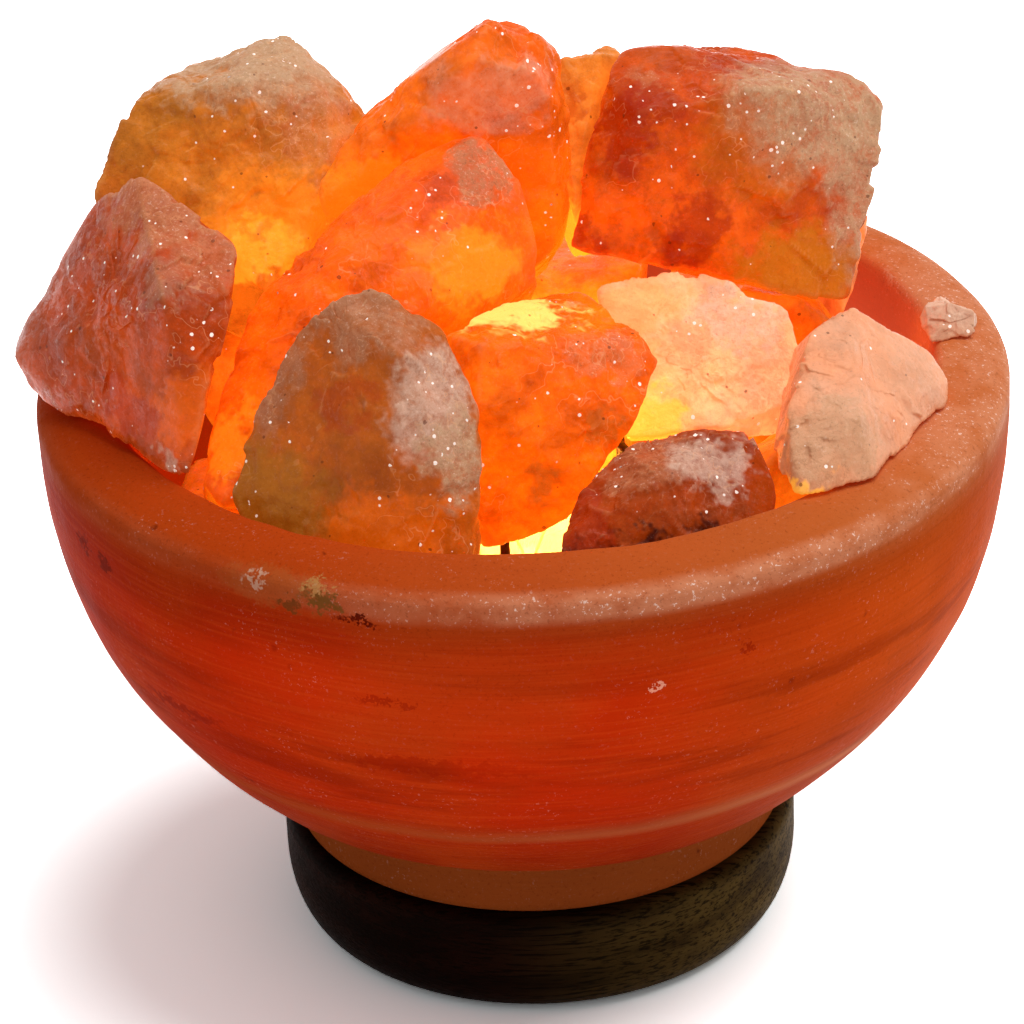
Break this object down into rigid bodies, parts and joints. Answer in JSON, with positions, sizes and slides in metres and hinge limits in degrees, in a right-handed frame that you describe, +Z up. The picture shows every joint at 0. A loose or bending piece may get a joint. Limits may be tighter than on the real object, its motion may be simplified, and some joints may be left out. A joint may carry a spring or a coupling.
{
  "type": "salt crystal lamp",
  "caption": "Salt crystal lamp: a turned rock-salt bowl on a round wooden base, heaped with loose salt lumps and lit from inside by a small bulb in a wire guard.",
  "frame": {"origin": "on the table under the middle of the bowl", "axes": "+Z up, -Y the front that faces the viewer, +Y the side where the cord comes in, +X to the right seen from the front"},
  "size_m": [0.203, 0.2, 0.1963],
  "materials": {
    "bowl_salt": "turned and smoothed, lit from inside",
    "amber_salt": "broken crystal, lit from inside",
    "rust_salt": "broken crystal, frosted on top",
    "orange_salt": "broken crystal, lit from inside",
    "red_salt": "broken crystal, lit from inside",
    "brown_salt": "broken crystal, clear and veined",
    "pale_salt": "broken crystal, pale pink",
    "inner_salt": "broken crystal beside the bulb",
    "dark_wood": "turned, stained nearly black, satin",
    "zinc_steel": "zinc plated",
    "spring_steel": "blued spring strip",
    "grey_plastic": "moulded nylon",
    "black_rubber": "matt",
    "black_plastic": "moulded sheet",
    "white_plastic": "moulded",
    "brass": "pressed and turned",
    "cap_metal": "pressed screw cap",
    "black_glass": "glassy insulator",
    "solder": "dull",
    "clear_glass": "clear",
    "lead_wire": "drawn wire",
    "filament": "hot tungsten coil",
    "guard_wire": "dark drawn wire, welded"
  },
  "bodies": {
    "lamp": {"salt_bowl": "bowl_salt", "wooden_base": "dark_wood", "fixing_screws": "zinc_steel", "fixing_washers": "zinc_steel", "wall_plugs": "grey_plastic", "rubber_feet": "black_rubber", "cover_plate": "black_plastic", "cover_screws": "zinc_steel", "cord_grommet": "black_rubber", "holder_plate": "zinc_steel", "plate_screws": "zinc_steel", "holder_shell": "white_plastic", "contact_block": "white_plastic", "terminal_screws": "brass", "thread_shell": "brass", "centre_contact": "brass", "spring_clips": "spring_steel", "wire_guard": "guard_wire", "stone_under_right": "inner_salt", "stone_under_left": "inner_salt", "stone_under_back": "inner_salt", "stone_under_front": "inner_salt", "stone_side": "inner_salt"},
    "bulb": {"bulb_cap": "cap_metal", "bulb_insulator": "black_glass", "bulb_tip": "solder", "bulb_glass": "clear_glass", "bulb_stem": "clear_glass", "lead_wires": "lead_wire", "bulb_filament": "filament"},
    "back_left lump": {"stone_back_left": "amber_salt"},
    "rear lump": {"stone_rear": "pale_salt"},
    "back_right lump": {"stone_back_right": "red_salt"},
    "long lump": {"stone_long": "orange_salt"},
    "left lump": {"stone_left": "rust_salt"},
    "top lump": {"stone_top": "orange_salt"},
    "sliver lump": {"stone_sliver": "orange_salt"},
    "front_left lump": {"stone_front_left": "brown_salt"},
    "front_right lump": {"stone_front_right": "brown_salt"},
    "middle lump": {"stone_middle": "orange_salt"},
    "pale lump": {"stone_pale": "pale_salt"},
    "right lump": {"stone_right": "pale_salt"},
    "pebble lump": {"stone_pebble": "pale_salt"}
  },
  "joints": [
    {"name": "bulb turns in its holder", "type": "hinge", "parent": "lamp", "child": "bulb", "pos_m": [0, 0, 0.055], "axis": [0, 0, 1], "range_deg": [0, 360]},
    {"name": "back_left lump lifts off", "type": "slide", "parent": "lamp", "child": "back_left lump", "axis": [-0.433, 0.25, 0.866], "range_m": [0, 0.12]},
    {"name": "rear lump lifts off", "type": "slide", "parent": "lamp", "child": "rear lump", "axis": [0.1205, 0.0696, 0.9903], "range_m": [0, 0.12]},
    {"name": "back_right lump lifts off", "type": "slide", "parent": "rear lump", "child": "back_right lump", "axis": [0.554, 0.1485, 0.8192], "range_m": [0, 0.12]},
    {"name": "long lump lifts off", "type": "slide", "parent": "lamp", "child": "long lump", "axis": [-0.4255, -0.1984, 0.8829], "range_m": [0, 0.12]},
    {"name": "left lump lifts off", "type": "slide", "parent": "long lump", "child": "left lump", "axis": [-0.6964, -0.1228, 0.7071], "range_m": [0, 0.12]},
    {"name": "top lump lifts off", "type": "slide", "parent": "lamp", "child": "top lump", "axis": [0, 0, 1], "range_m": [0, 0.12]},
    {"name": "sliver lump lifts off", "type": "slide", "parent": "lamp", "child": "sliver lump", "axis": [0.067, 0.25, 0.9659], "range_m": [0, 0.12]},
    {"name": "front_left lump lifts off", "type": "slide", "parent": "lamp", "child": "front_left lump", "axis": [0, 0, 1], "range_m": [0, 0.12]},
    {"name": "front_right lump lifts off", "type": "slide", "parent": "lamp", "child": "front_right lump", "axis": [-0.1294, -0.2241, 0.9659], "range_m": [0, 0.12]},
    {"name": "middle lump lifts off", "type": "slide", "parent": "lamp", "child": "middle lump", "axis": [0.5785, -0.2106, 0.788], "range_m": [0, 0.12]},
    {"name": "pale lump lifts off", "type": "slide", "parent": "lamp", "child": "pale lump", "axis": [0.4067, 0, 0.9135], "range_m": [0, 0.12]},
    {"name": "right lump lifts off", "type": "slide", "parent": "lamp", "child": "right lump", "axis": [0.6124, -0.3536, 0.7071], "range_m": [0, 0.12]},
    {"name": "pebble lump lifts off", "type": "slide", "parent": "lamp", "child": "pebble lump", "axis": [0.766, 0, 0.6428], "range_m": [0, 0.12]}
  ]
}
